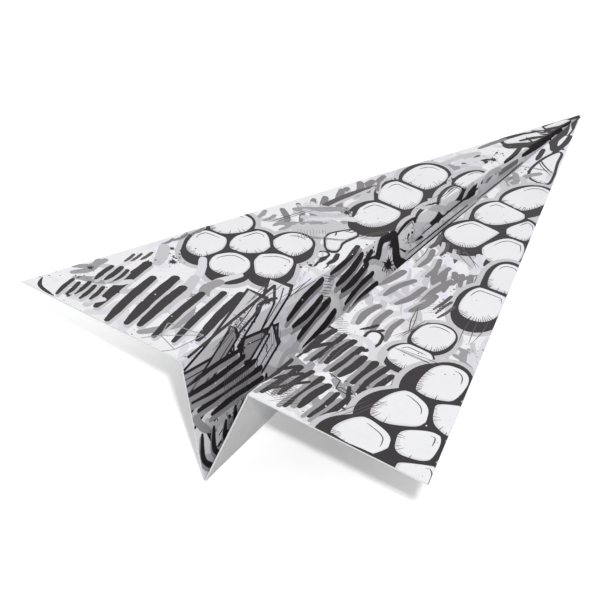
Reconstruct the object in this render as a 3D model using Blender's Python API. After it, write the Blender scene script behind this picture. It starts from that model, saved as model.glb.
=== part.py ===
"""Folded card dart (hand glider): one die-cut sheet with three creases.

Four flat triangular panels meet at the nose: left wing, left keel, right keel
and right wing. Each panel is a printed cover sheet glued on a stiff grey board,
and the cover sheet's bent strip along each crease is the hinge.

Metres, +X to the nose, +Y to the left wing, +Z up. The printed faces of both
wings lie in one level plane, and the lowest point stands on Z = 0.
"""

import math

import bpy
from mathutils import Matrix, Vector

# ---------------------------------------------------------------- dimensions
LENGTH = 0.3000  # nose to the wings' trailing edge, along the centre line
HALF_SPAN = 0.0926  # centre line to a wing tip
HALF_GAP = 0.0151  # centre line to a wing crease, at the trailing edge
KEEL_DEPTH = 0.0493  # wing plane down to the keel crease, at the tail

FACE_T = 0.00012  # printed cover sheet
GLUE_GAP = 0.00003  # glue line between cover sheet and board
BOARD_T = 0.00040  # grey board
SHEET_T = FACE_T + GLUE_GAP + BOARD_T

BOARD_NOSE = 0.0065  # the boards stop this far behind the nose, where the creases meet

CREASE_CLEAR = 0.00025  # panel edge to crease axis, so that a fold runs free
CREASE_R = 0.00015  # bent strip of cover sheet, as a slim round bead
CREASE_END = 0.0004  # bead ends this far inside nose and tail
WING_BEAD_START = 0.0042  # the wing beads start here, clear of each other when the sheet is flat
BEAD_SIDES = 16

NOSE_X = LENGTH / 2
TAIL_X = -LENGTH / 2
WING_Z = KEEL_DEPTH + CREASE_R * math.cos(math.atan(KEEL_DEPTH / LENGTH))


def keel_rake():
    """How far the keel's tail corner sits ahead of the wings' trailing edge.

    The flat sheet was cut square across its tail at each wing crease, so the
    trailing edge runs straight over the crease when it is unfolded.
    """
    rake = 0.0
    for _ in range(40):
        edge = math.sqrt(rake**2 + HALF_GAP**2 + KEEL_DEPTH**2)
        rake = HALF_GAP * (edge - HALF_GAP) / LENGTH
    return rake


# Corners of the printed surface.
NOSE = Vector((NOSE_X, 0.0, WING_Z))
KEEL_TAIL = Vector((TAIL_X + keel_rake(), 0.0, WING_Z - KEEL_DEPTH))


def corners(side):
    """Wing tip and wing crease's tail end; side is +1 for left, -1 for right."""
    tip = Vector((TAIL_X, side * HALF_SPAN, WING_Z))
    crease = Vector((TAIL_X, side * HALF_GAP, WING_Z))
    return tip, crease


# ---------------------------------------------------------------- scene setup
for old in list(bpy.data.objects):
    bpy.data.objects.remove(old, do_unlink=True)

glider = bpy.data.collections.new("card_dart_glider")
bpy.context.scene.collection.children.link(glider)


def own_material(name, colour, roughness):
    mat = bpy.data.materials.new(name)
    mat.use_nodes = True
    shader = mat.node_tree.nodes["Principled BSDF"]
    shader.inputs["Base Color"].default_value = (*colour, 1.0)
    shader.inputs["Roughness"].default_value = roughness
    shader.inputs["Metallic"].default_value = 0.0
    mat.diffuse_color = (*colour, 1.0)
    return mat


def adopt(obj, parent, mat):
    """Files an object in the glider's collection under its hinge."""
    for coll in list(obj.users_collection):
        coll.objects.unlink(obj)
    glider.objects.link(obj)
    obj.data.materials.clear()
    obj.data.materials.append(mat)
    if parent is not None:
        obj.parent = parent
        obj.matrix_parent_inverse = parent.matrix_world.inverted()


def hinge_empty(name, point, direction, parent=None):
    """An empty on a crease axis, its own X along the crease."""
    empty = bpy.data.objects.new(name, None)
    empty.empty_display_size = 0.01
    glider.objects.link(empty)
    if parent is not None:
        empty.parent = parent
        empty.matrix_parent_inverse = parent.matrix_world.inverted()
    turn = direction.to_track_quat("X", "Z").to_matrix().to_4x4()
    empty.matrix_world = Matrix.Translation(point) @ turn
    bpy.context.view_layer.update()
    return empty


def sheet_outline(along, out, tail_in, tail_out, clear_in, clear_out, cut):
    """The panel's flat outline in its own plane, with the nose at the origin.

    along and out are the panel's unit axes. tail_in and tail_out are its two
    tail corners from the nose, and the clearances are kept from the edges that
    run from the nose to each of them. cut squares the outline off that far
    behind the nose, and 0 leaves it pointed.
    """
    a = Vector((tail_in.dot(along), tail_in.dot(out)))
    b = Vector((tail_out.dot(along), tail_out.dot(out)))

    def shifted(point, clear, inward):
        side = Vector((-point.y, point.x)).normalized()
        return side * clear if side.dot(inward) > 0 else -side * clear

    off_a, off_b = shifted(a, clear_in, b), shifted(b, clear_out, a)

    def crossing(p, r, q, s):
        t = (q - p).cross(s) / r.cross(s)
        return p + r * t

    nose = crossing(off_a, a, off_b, b)
    low = crossing(off_a, a, a, b - a)
    high = crossing(off_b, b, a, b - a)
    if cut <= nose.x:
        return [nose, low, high]
    across, line = Vector((0.0, 1.0)), Vector((cut, 0.0))
    return [
        crossing(line, across, nose, a),
        low,
        high,
        crossing(line, across, nose, b),
    ]


def flat_plate(name, outline, frame, depth_top, thickness, parent, mat):
    """A flat plate under the printed plane: a filled 2D curve, extruded."""
    curve = bpy.data.curves.new(name, "CURVE")
    curve.dimensions = "2D"
    curve.fill_mode = "BOTH"
    curve.extrude = thickness / 2
    spline = curve.splines.new("POLY")
    spline.points.add(len(outline) - 1)
    for point, (x, y) in zip(spline.points, outline):
        point.co = (x, y, 0.0, 1.0)
    spline.use_cyclic_u = True
    obj = bpy.data.objects.new(name, curve)
    bpy.context.scene.collection.objects.link(obj)
    obj.matrix_world = frame @ Matrix.Translation(
        (0.0, 0.0, -(depth_top + thickness / 2))
    )
    bpy.context.view_layer.update()
    adopt(obj, parent, mat)
    return obj


def bead(name, start, end, parent, mat):
    """The bent strip along a crease, as a round bead on the crease axis."""
    run = end - start
    bpy.ops.mesh.primitive_cylinder_add(
        vertices=BEAD_SIDES,
        radius=CREASE_R,
        depth=run.length,
        end_fill_type="NGON",
        location=(start + end) / 2,
        rotation=run.to_track_quat("Z", "Y").to_euler(),
    )
    obj = bpy.context.active_object
    obj.name = name
    obj.data.name = name
    bpy.context.view_layer.update()
    adopt(obj, parent, mat)
    return obj


def printed_normal(edge_a, edge_b, toward):
    n = edge_a.cross(edge_b).normalized()
    return n if n.dot(toward) > 0 else -n


def panel(name, tail_in, tail_out, normal, clear_in, clear_out, parent):
    """Cover sheet and board of one panel, both under its printed plane."""
    along = (tail_in - NOSE).normalized()
    out = normal.cross(along).normalized()
    frame = Matrix.Translation(NOSE) @ Matrix(
        (
            (along.x, out.x, normal.x, 0.0),
            (along.y, out.y, normal.y, 0.0),
            (along.z, out.z, normal.z, 0.0),
            (0.0, 0.0, 0.0, 1.0),
        )
    )
    edges = (tail_in - NOSE, tail_out - NOSE, clear_in, clear_out)
    sheet = sheet_outline(along, out, *edges, 0.0)
    backing = sheet_outline(along, out, *edges, BOARD_NOSE)
    face = own_material(name + "_face", (0.80, 0.80, 0.82), 0.35)
    board = own_material(name + "_board", (0.50, 0.50, 0.50), 0.80)
    flat_plate(name + "_face", sheet, frame, 0.0, FACE_T, parent, face)
    flat_plate(
        name + "_board", backing, frame, FACE_T + GLUE_GAP, BOARD_T, parent, board
    )


# ---------------------------------------------------------------- the creases
keel_run = KEEL_TAIL - NOSE
keel_hinge = hinge_empty("keel_hinge", NOSE, keel_run.normalized())
# The right keel panel is the one that stays put, and the left one turns on it.
left_keel_hinge = hinge_empty(
    "left_keel_hinge", NOSE, keel_run.normalized(), keel_hinge
)
bead(
    "keel_crease",
    NOSE + keel_run.normalized() * CREASE_END,
    KEEL_TAIL - keel_run.normalized() * CREASE_END,
    keel_hinge,
    own_material("keel_crease", (0.30, 0.30, 0.31), 0.45),
)

for side, hand in ((1, "left"), (-1, "right")):
    wing_tip, wing_crease = corners(side)
    wing_normal = Vector((0.0, 0.0, 1.0))
    keel_normal = printed_normal(
        wing_crease - NOSE, KEEL_TAIL - NOSE, Vector((0.0, -side, 0.3))
    )

    # The wing folds about the line where the two plain faces meet.
    cos_fold = wing_normal.dot(keel_normal)
    to_axis = -(wing_normal + keel_normal) * (SHEET_T / (1.0 + cos_fold))
    corner_cut = SHEET_T * math.tan(math.acos(cos_fold) / 2)

    keel_parent = left_keel_hinge if side > 0 else keel_hinge
    run = wing_crease - NOSE
    axis_dir = run.normalized()
    wing_hinge = hinge_empty(
        hand + "_wing_hinge", NOSE + to_axis, axis_dir, keel_parent
    )

    panel(
        hand + "_keel",
        KEEL_TAIL,
        wing_crease,
        keel_normal,
        CREASE_CLEAR,
        corner_cut + CREASE_CLEAR,
        keel_parent,
    )
    bead(
        hand + "_wing_crease",
        NOSE + to_axis + axis_dir * WING_BEAD_START,
        NOSE + to_axis + axis_dir * (run.length - CREASE_END),
        keel_parent,
        own_material(hand + "_wing_crease", (0.30, 0.30, 0.31), 0.45),
    )
    panel(
        hand + "_wing",
        wing_crease,
        wing_tip,
        wing_normal,
        corner_cut + CREASE_CLEAR,
        0.0,
        wing_hinge,
    )

bpy.context.view_layer.update()
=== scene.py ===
"""Looks for the folded card dart: printed cover sheets with an abstract ink
pattern, grey board backs, bent creases, and a plain pale studio."""

import math
import random

import bpy
import numpy as np
from mathutils import Matrix, Vector
from mathutils.geometry import delaunay_2d_cdt


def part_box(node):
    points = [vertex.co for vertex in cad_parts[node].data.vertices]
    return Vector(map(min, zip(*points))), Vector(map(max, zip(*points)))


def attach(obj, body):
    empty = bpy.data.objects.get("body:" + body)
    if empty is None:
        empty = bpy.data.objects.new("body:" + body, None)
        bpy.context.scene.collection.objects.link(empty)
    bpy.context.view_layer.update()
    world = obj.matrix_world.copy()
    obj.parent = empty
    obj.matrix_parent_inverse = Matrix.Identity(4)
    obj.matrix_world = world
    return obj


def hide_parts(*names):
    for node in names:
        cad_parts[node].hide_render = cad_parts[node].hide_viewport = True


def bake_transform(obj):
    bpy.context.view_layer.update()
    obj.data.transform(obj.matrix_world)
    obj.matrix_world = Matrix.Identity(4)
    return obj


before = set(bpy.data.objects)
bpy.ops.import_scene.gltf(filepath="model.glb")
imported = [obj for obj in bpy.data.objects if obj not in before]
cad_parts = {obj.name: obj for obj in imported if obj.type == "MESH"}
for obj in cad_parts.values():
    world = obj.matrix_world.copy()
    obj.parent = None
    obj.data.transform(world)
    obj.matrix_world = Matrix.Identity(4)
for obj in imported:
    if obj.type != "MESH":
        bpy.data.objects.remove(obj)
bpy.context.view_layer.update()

# ---------------------------------------------------------------- dimensions
# Millimetres, the same numbers as the CAD.
LENGTH = 300.0
HALF_SPAN = 92.6
HALF_GAP = 15.1
KEEL_DEPTH = 49.3
FACE_T = 0.12
SHEET_T = 0.55
CREASE_CLEAR = 0.25

rake = 0.0
for _ in range(40):
    rake = HALF_GAP * (math.sqrt(rake**2 + HALF_GAP**2 + KEEL_DEPTH**2) - HALF_GAP) / LENGTH

# The printed planes meet in the nose corner. Its height comes from the CAD.
TOP_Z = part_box("left_wing_face")[1].z * 1000
NOSE = np.array((LENGTH / 2, 0.0, TOP_Z))
KEEL_TAIL = np.array((rake - LENGTH / 2, 0.0, TOP_Z - KEEL_DEPTH))
FOLD_TAIL = np.array((-LENGTH / 2, HALF_GAP, TOP_Z))
TIP = np.array((-LENGTH / 2, HALF_SPAN, TOP_Z))


def unit(v):
    return v / np.linalg.norm(v)


def angle(u, v):
    return math.acos(float(np.clip(unit(u) @ unit(v), -1, 1)))


# The left half of the sheet. The right half is its mirror image in Y.
to_keel, to_fold, to_tip = KEEL_TAIL - NOSE, FOLD_TAIL - NOSE, TIP - NOSE
KEEL_ANGLE = angle(to_keel, to_fold)
WING_ANGLE = angle(to_fold, to_tip)
EDGE_ANGLE = KEEL_ANGLE + WING_ANGLE
u_keel, u_fold = unit(to_keel), unit(to_fold)
v_wing = unit(to_tip - u_fold * (to_tip @ u_fold))
v_keel = -unit(to_keel - u_fold * (to_keel @ u_fold))
n_wing = np.array((0.0, 0.0, 1.0))
n_keel = unit(np.cross(u_keel, u_fold))
if n_keel[1] > 0:
    n_keel = -n_keel
FOLD = angle(n_wing, n_keel)
ROUND = 6.0  # the crease rounds off over this length behind the nose
FULL_INSET = SHEET_T * math.tan(FOLD / 2)
PANEL_INSET = FULL_INSET + CREASE_CLEAR

# Tail corners on the flat sheet: X runs aft from the nose along the keel
# crease, and Y to the left.
FLAT_C = (float(np.linalg.norm(to_keel)), 0.0)
FLAT_B = tuple(np.linalg.norm(to_fold) * np.array((math.cos(KEEL_ANGLE), math.sin(KEEL_ANGLE))))
FLAT_A = tuple(np.linalg.norm(to_tip) * np.array((math.cos(EDGE_ANGLE), math.sin(EDGE_ANGLE))))


def folded(flat, depth=0.0):
    """Flat sheet points to the folded card, depth under the printed side.

    depth is in millimetres, or "back" for the plain side of a crease.
    """
    flat = np.asarray(flat, float)
    x, y = flat[:, 0], flat[:, 1]
    side = np.where(y < 0, -1.0, 1.0)
    y = np.abs(y)
    a = x * math.cos(KEEL_ANGLE) + y * math.sin(KEEL_ANGLE)
    o = y * math.cos(KEEL_ANGLE) - x * math.sin(KEEL_ANGLE)
    r = SHEET_T * (0.1 + 0.9 * np.clip(a / ROUND, 0, 1))
    inset = r * math.tan(FOLD / 2)
    turn = np.clip((o + inset) / (2 * inset), 0, 1) * FOLD
    n = (np.sin(FOLD - turn)[:, None] * n_keel + np.sin(turn)[:, None] * n_wing) / math.sin(FOLD)
    centre = NOSE + a[:, None] * u_fold + inset[:, None] * v_wing - r[:, None] * n_wing
    out = centre + r[:, None] * n
    wing, keel = o >= inset, o <= -inset
    out[wing] = (NOSE + a[:, None] * u_fold + o[:, None] * v_wing)[wing]
    out[keel] = (NOSE + a[:, None] * u_fold + o[:, None] * v_keel)[keel]
    if isinstance(depth, str):
        # Thinner still towards the nose, where the creases on both sides meet.
        depth = np.minimum(0.94 * r, 0.012 + 0.085 * np.clip(a, 0, None))
    out = out - n * np.reshape(depth, (-1, 1)) * np.ones((len(out), 1))
    out[:, 1] *= side
    return out


def keel_fold_under(flat, depth):
    """The outside of the keel crease: a round back under a sharp valley."""
    flat = np.asarray(flat, float)
    x, y = flat[:, 0], flat[:, 1]
    lateral = np.clip((np.abs(y) - 0.1) / 0.15, 0, 1) * CREASE_CLEAR
    depth = depth * (0.1 + 0.9 * np.clip(x / ROUND, 0, 1))
    half = math.pi / 2 - math.atan2(float(v_across[2]), float(v_across[1]))
    turn = np.clip(np.abs(y) / 0.1, 0, 1)
    lean = turn * (math.pi / 2 - half)
    down = np.cross(u_keel, (0.0, 1.0, 0.0))
    if down[2] > 0:
        down = -down
    out = (
        NOSE
        + x[:, None] * u_keel
        + lateral[:, None] * v_across
        + depth[:, None] * (np.sin(lean)[:, None] * np.array((0.0, 1.0, 0.0)) + np.cos(lean)[:, None] * down)
    )
    out[:, 1] *= np.where(y < 0, -1.0, 1.0)
    return out


# In the left keel's plane, square to the keel crease.
v_across = unit(to_fold - u_keel * (to_fold @ u_keel))


# ------------------------------------------------------------------ the print
# The print is an abstract ink pattern of its own: washes, brush slashes, fat
# outlined tubes and puffs, zigzag ribbons, hatching and spatter. It is laid out
# on the flat sheet in millimetres: X runs aft from the nose along the keel
# crease, and Y runs to the left. Later shapes cover earlier ones.

INK = (57, 54, 56)
INK_SOFT = (92, 88, 91)
MID = (136, 133, 136)
GREY = (160, 159, 163)
WASH = (204, 203, 207)
PALE = (223, 222, 228)
LILAC = (233, 232, 241)
PAPER = (240, 240, 243)
WHITE = (248, 248, 250)

rng = random.Random(20)
shapes = []  # (colour, [polygons]), painted in order


def put(colour, *polygons):
    shapes.append((colour, [np.asarray(p, float) for p in polygons if len(p) > 2]))


def smooth(points, closed=False, steps=8):
    """A Catmull-Rom curve through the points."""
    p = [np.array(q, float) for q in points]
    if len(p) < 3:
        return np.array([p[0] + (p[-1] - p[0]) * t for t in np.linspace(0, 1, 5)])
    ends = [p[-1]] + p + [p[0], p[1]] if closed else [2 * p[0] - p[1]] + p + [2 * p[-1] - p[-2]]
    out = []
    for i in range(1, len(ends) - 2):
        a, b, c, d = ends[i - 1 : i + 3]
        for k in range(steps):
            t = k / steps
            out.append(
                0.5
                * (
                    2 * b
                    + (c - a) * t
                    + (2 * a - 5 * b + 4 * c - d) * t**2
                    + (3 * b - a - 3 * c + d) * t**3
                )
            )
    if not closed:
        out.append(ends[-2])
    return np.array(out)


def thin_out(poly, within=0.035):
    """Drops points that a straight edge already passes within this distance of."""
    poly = np.asarray(poly, float)
    keep = np.zeros(len(poly), bool)
    keep[[0, len(poly) // 2, -1]] = True
    jobs = [(0, len(poly) // 2), (len(poly) // 2, len(poly) - 1)]
    while jobs:
        i, j = jobs.pop()
        if j <= i + 1:
            continue
        a, b = poly[i], poly[j]
        d = b - a
        n = math.hypot(*d) or 1.0
        far = np.abs((poly[i + 1 : j, 0] - a[0]) * d[1] - (poly[i + 1 : j, 1] - a[1]) * d[0]) / n
        if n < 1e-6:
            far = np.hypot(*(poly[i + 1 : j] - a).T)
        k = int(far.argmax())
        if far[k] > within:
            keep[i + 1 + k] = True
            jobs += [(i, i + 1 + k), (i + 1 + k, j)]
    return poly[keep]


def ribbon(path, width, taper=(0.0, 0.0), nib=None, wobble=0.0, cap=True):
    """A brush stroke's outline. width is its full width, taper the share of it
    lost at each end, and nib a chisel tip's angle in degrees."""
    path = np.asarray(path, float)
    step = np.gradient(path, axis=0)
    length = np.hypot(*step.T)
    length[length < 1e-9] = 1e-9
    tangent = step / length[:, None]
    normal = np.stack([-tangent[:, 1], tangent[:, 0]], 1)
    along = np.concatenate([[0], np.cumsum(np.hypot(*np.diff(path, axis=0).T))])
    along /= max(along[-1], 1e-9)
    if np.ndim(width):
        half = np.interp(along, np.linspace(0, 1, len(width)), width) / 2
    else:
        half = np.full(len(path), width / 2)
    if nib is not None:
        turn = np.arctan2(tangent[:, 1], tangent[:, 0]) - math.radians(nib)
        half *= 0.42 + 0.58 * np.abs(np.sin(turn))
    half *= 1 - taper[0] * np.clip(1 - along / 0.35, 0, 1) ** 1.5
    half *= 1 - taper[1] * np.clip(1 - (1 - along) / 0.35, 0, 1) ** 1.5
    if wobble:
        phase = rng.random() * 6
        half *= 1 + wobble * np.sin(along * 21 + phase) * np.sin(along * 8 + 2 * phase)
    left, right = path + normal * half[:, None], path - normal * half[:, None]
    out = list(left)
    if cap:
        for k in (1, 2, 3):
            a = math.pi / 2 - k * math.pi / 4
            out.append(path[-1] + half[-1] * (tangent[-1] * math.cos(a) + normal[-1] * math.sin(a)))
    out += list(right[::-1])
    if cap:
        for k in (1, 2, 3):
            a = -math.pi / 2 - k * math.pi / 4
            out.append(path[0] + half[0] * (tangent[0] * math.cos(a) + normal[0] * math.sin(a)))
    return thin_out(out)


def oval(cx, cy, rx, ry, turn=0.0, n=28, rough=0.0):
    t = np.linspace(0, 2 * math.pi, n, endpoint=False)
    r = np.ones(n)
    if rough:
        r += np.array([rng.uniform(-rough, rough) for _ in range(n)])
    c, s = math.cos(math.radians(turn)), math.sin(math.radians(turn))
    x, y = rx * r * np.cos(t), ry * r * np.sin(t)
    return np.stack([cx + x * c - y * s, cy + x * s + y * c], 1)


def brush(points, width, colour=INK, taper=(0.15, 0.3), nib=None, wobble=0.05, shade=None):
    path = smooth(points)
    if shade:
        put(shade[0], ribbon(path + np.array(shade[1]), width * 1.05, taper, nib))
    put(colour, ribbon(path, width, taper, nib, wobble))


def tube(points, width, line=2.2, fill=PAPER, drop=(2.4, -1.2), gleam=True, colour=INK, tint=PALE):
    """A fat outlined tube with a heavy drop side, a shaded belly and gleams."""
    path = smooth(points, steps=9)
    put(
        colour,
        ribbon(path, width + 2 * line),
        ribbon(path + np.array(drop) * 0.5, width + 2 * line),
        ribbon(path + np.array(drop), width + 1.6 * line),
    )
    put(fill, ribbon(path, width))
    step = np.gradient(path, axis=0)
    normal = np.stack([-step[:, 1], step[:, 0]], 1)
    normal /= np.hypot(*normal.T)[:, None] + 1e-9
    side = 1 if normal.mean(0) @ np.array(drop) > 0 else -1
    lo, hi = int(len(path) * 0.12), int(len(path) * 0.82)
    put(tint, ribbon(path[lo:hi] + side * normal[lo:hi] * width * 0.3, width * 0.2, (0.8, 0.8)))
    if gleam:
        lo, hi = int(len(path) * 0.16), int(len(path) * 0.42)
        put(WHITE, ribbon(path[lo:hi] - side * normal[lo:hi] * width * 0.27, width * 0.12, (0.5, 0.5)))
        k = int(len(path) * 0.5)
        put(WHITE, oval(*(path[k] - side * normal[k] * width * 0.27), width * 0.07, width * 0.05))


def puff(ovals, line=1.8, fill=PAPER, drop=(3.0, -1.0), colour=INK, rim=None):
    """A cloud of overlapping ovals with one outline round them all."""
    if rim:
        put(rim, *[oval(x, y, a + line + 2.4, b + line + 2.4, t) for x, y, a, b, t in ovals])
    put(
        colour,
        *[oval(x, y, a + line, b + line, t) for x, y, a, b, t in ovals],
        *[oval(x + drop[0] * 0.5, y + drop[1] * 0.5, a + line, b + line, t) for x, y, a, b, t in ovals],
        *[oval(x + drop[0], y + drop[1], a + line * 0.8, b + line * 0.8, t) for x, y, a, b, t in ovals],
    )
    put(fill, *[oval(x, y, a, b, t) for x, y, a, b, t in ovals])


def slashes(x, y, count, gap, length, width, angle, colour=INK, shade=None, nib=None, jitter=0.25, hook=0.0):
    """Parallel slashes, stepped across their own direction."""
    a = math.radians(angle)
    d, n = np.array([math.cos(a), math.sin(a)]), np.array([-math.sin(a), math.cos(a)])
    for i in range(count):
        start = np.array([x, y]) + n * gap * (i + rng.uniform(-jitter, jitter)) + d * rng.uniform(-jitter, jitter) * length * 0.35
        run = length * rng.uniform(0.8, 1.15)
        bow = rng.uniform(-0.05, 0.05) * run
        mid = start + d * run * 0.5 + n * bow
        end = start + d * run
        pts = [start, mid, end]
        if hook:
            pts.append(end + d * width * 0.6 + n * hook * rng.choice((-1, 1)))
        brush(pts, width * rng.uniform(0.85, 1.15), colour, nib=nib, shade=shade)


def zigzag(points, width, colour=INK, nib=None, taper=(0.1, 0.3)):
    """A stroke with sharp turns, drawn as overlapping straight brush marks."""
    pts = [np.array(p, float) for p in points]
    polys = []
    for a, b in zip(pts, pts[1:]):
        n = max(3, int(np.hypot(*(b - a)) / 4))
        polys.append(ribbon(np.array([a + (b - a) * t for t in np.linspace(0, 1, n)]), width, (0, 0.12), nib, 0.04))
    put(colour, *polys)


def spatter(x, y, spread, count, size, colour=INK, stretch=(1, 1)):
    for _ in range(count):
        r = abs(rng.gauss(0, 1)) * spread
        a = rng.uniform(0, 2 * math.pi)
        s = size * (0.25 + abs(rng.gauss(0, 0.55))) * max(0.35, 1 - r / spread / 4)
        px, py = x + r * math.cos(a) * stretch[0], y + r * math.sin(a) * stretch[1]
        put(colour, oval(px, py, s, s * rng.uniform(0.6, 1), rng.uniform(0, 180), 9 if s < 0.5 else 14, 0.08))


def splat(x, y, size, colour=INK, spikes=11):
    """A blot with short spikes round it, and spatter beyond them."""
    pts = []
    for i in range(spikes * 2):
        a = i * math.pi / spikes + rng.uniform(-0.08, 0.08)
        r = size * (rng.uniform(1.0, 1.7) if i % 2 else rng.uniform(0.55, 0.75))
        pts.append((x + r * math.cos(a), y + r * math.sin(a)))
    put(colour, thin_out(smooth(pts, True, 4), 0.04))
    spatter(x, y, size * 1.7, 12, size * 0.22, colour)


def hatch(x, y, count, gap, length, angle, width=0.32, colour=INK_SOFT, cross=False):
    for turn in (0, 62) if cross else (0,):
        a = math.radians(angle + turn)
        d, n = np.array([math.cos(a), math.sin(a)]), np.array([-math.sin(a), math.cos(a)])
        for i in range(count):
            s = np.array([x, y]) + n * gap * (i - count / 2) + d * rng.uniform(-0.12, 0.12) * length
            e = s + d * length * rng.uniform(0.75, 1.1)
            put(colour, ribbon(np.array([s, (s + e) / 2 + n * rng.uniform(-0.2, 0.2), e]), width, (0.2, 0.5), cap=False))


def crack(x, y, angle, reach, width=0.55, colour=INK, forks=2):
    """A jagged thin line that forks."""
    a = math.radians(angle)
    p = np.array([x, y], float)
    pts = [p]
    for i in range(5):
        a2 = a + (0.75 if i % 2 else -0.75) * rng.uniform(0.5, 1.1)
        p = p + np.array([math.cos(a2), math.sin(a2)]) * reach / 4.2
        pts.append(p)
    put(colour, ribbon(np.array(pts), width, (0.0, 0.6), cap=False))
    if forks:
        for k in (2, 3)[:forks]:
            crack(*pts[k], angle + rng.choice((-55, 55)), reach * 0.4, width * 0.75, colour, 0)


def rings(x, y, r, count=3, turn=0.0, squeeze=0.7, colour=INK, width=0.7):
    for i in range(count):
        rr = r * (1 - i / count)
        put(colour, oval(x, y, rr, rr * squeeze, turn))
        put(PAPER if i < count - 1 else WASH, oval(x, y, rr - width, rr * squeeze - width, turn))


def drips(x, y, count, gap, length, width, angle=0.0, colour=INK):
    a = math.radians(angle)
    d, n = np.array([math.cos(a), math.sin(a)]), np.array([-math.sin(a), math.cos(a)])
    for i in range(count):
        s = np.array([x, y]) + n * gap * (i + rng.uniform(-0.3, 0.3))
        e = s + d * length * rng.uniform(0.35, 1.0)
        put(colour, ribbon(np.array([s, (s + e) / 2, e]), width, (0, 0)), oval(*e, width * 0.75, width * 0.62, angle, 12))


def bolt(points, width, line=0.9, fill=PALE, colour=INK, inner=True):
    """A sharp-cornered folded ribbon: outlined zigzag bands, one per leg."""
    pts = [np.array(p, float) for p in points]
    for i, (a, b) in enumerate(zip(pts, pts[1:])):
        d = (b - a) / np.hypot(*(b - a))
        n = np.array([-d[1], d[0]])
        lean = n * width / 2
        quad = [a - lean, b - lean + d * width * 0.4, b + lean, a + lean - d * width * 0.4]
        grow = [a - lean - n * line - d * line * 2, b - lean - n * line + d * (width * 0.4 + line), b + lean + n * line + d * line * 2, a + lean + n * line - d * (width * 0.4 + line)]
        put(colour, np.array(grow))
        put(fill if i % 2 == 0 else GREY, np.array(quad))
        if inner:
            put(colour, ribbon(np.array([a - lean * 0.45 + d, b - lean * 0.45 - d]), 0.5, (0, 0), cap=False))


def extrude(outline, drop, steps):
    """The outline swept along a straight drop, as overlapping copies."""
    drop = np.array(drop, float)
    return [outline + drop * k / steps for k in range(1, steps + 1)]


def blob(points, line=1.6, drop=(3.2, -1.0), fill=PAPER, colour=INK, rim=None, gleam=(), folds=(), shade=(), slots=(), tint=PALE, belly=1.9):
    """A soft closed form with a drawn outline, a heavy drop side and a shaded
    belly. gleam, folds, shade and slots are open strokes inside it."""
    edge = smooth(points, True, 9)
    loop = np.vstack([edge, edge[:3]])
    drop = np.array(drop, float)
    far = math.hypot(*drop)
    if rim:
        put(rim, ribbon(loop + drop * 0.6, line * 2 + 5.0, cap=False), *extrude(thin_out(edge), drop * 1.2, 3))
    put(colour, ribbon(loop, line * 2, cap=False))
    if far:
        put(colour, *extrude(thin_out(edge), drop, max(2, int(far / 0.9))), ribbon(loop + drop, line, cap=False))
    put(tint, thin_out(edge))
    run = np.roll(edge, -1, 0) - np.roll(edge, 1, 0)
    out = np.stack([run[:, 1], -run[:, 0]], 1)
    out /= np.hypot(*out.T)[:, None] + 1e-9
    if ((np.roll(edge[:, 0], -1) - edge[:, 0]) * (np.roll(edge[:, 1], -1) + edge[:, 1]) / 2).sum() > 0:
        out = -out
    lean = out @ (drop / far if far else np.array((0.8, -0.6)))
    put(fill, thin_out(edge - out * (0.2 + belly * np.clip(lean, 0, 1))[:, None]))
    # Short ticks shade the belly, and a thin line echoes the lit side.
    for k in range(0, len(edge), 4):
        if lean[k] > 0.45 and belly > 1.5:
            q = edge[k] - out[k] * line * 0.4
            put(INK_SOFT, ribbon(np.array([q, q - out[k] * rng.uniform(1.6, 3.4)]), 0.34, (0.0, 0.6), cap=False))
    if rim:
        run = []
        for k in range(len(edge) + 1):
            if k < len(edge) and lean[k] < -0.25:
                run.append(edge[k] + out[k] * (line + 1.5))
            else:
                if len(run) > 6:
                    put(INK_SOFT, ribbon(np.array(run), 0.5, (0.3, 0.7), cap=False))
                run = []
    for pts, width in shade:
        put(tint, ribbon(smooth(pts), width, (0.8, 0.8)))
    put(colour, ribbon(loop, line, cap=False))
    for pts, width in folds:
        put(colour, ribbon(smooth(pts), width, (0.0, 0.75)))
    for pts, width in slots:
        path = smooth(pts)
        d = (path[-1] - path[0]) / (np.hypot(*(path[-1] - path[0])) + 1e-9)
        n = np.array([-d[1], d[0]])
        for j, share in ((-1, 0.62), (0, 1.0), (1, 0.7)):
            k = int(len(path) * (1 - share) / 2)
            put(colour, ribbon(path[k : len(path) - k] + n * j * width * 0.72, width * 0.4, (0.5, 0.8), cap=False))
    for pts, width in gleam:
        put(WHITE, ribbon(smooth(pts), width, (0.5, 0.5)))


def stripe(points, width, colour=INK, shade=None, fray=0):
    """A marker stroke with blunt, slightly narrowed ends and an optional shadow."""
    path = smooth(points, steps=7)
    if shade:
        put(shade[0], ribbon(path + np.array(shade[1]), width * 1.05, (0.1, 0.3)))
    put(colour, ribbon(path, width, (0.12, 0.42), wobble=0.07))
    for _ in range(fray):
        k = rng.randrange(len(path) // 3, len(path) - 2)
        d = path[k + 1] - path[k]
        d /= np.hypot(*d) + 1e-9
        n = np.array([-d[1], d[0]]) * rng.choice((-1, 1))
        put(colour, ribbon(np.array([path[k], path[k] + (d * 1.4 + n * 0.55) * width, path[k] + (d * 2.6 + n * 0.6) * width]), width * 0.3, (0, 0.9), cap=False))


def swoosh(points, width, colour=INK, shade=None):
    """A long stroke that swells in the middle and runs out at both ends."""
    path = smooth(points, steps=9)
    if shade:
        put(shade[0], ribbon(path + np.array(shade[1]), width, (0.9, 0.9)))
    put(colour, ribbon(path, width, (0.85, 0.95), wobble=0.04))


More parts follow.
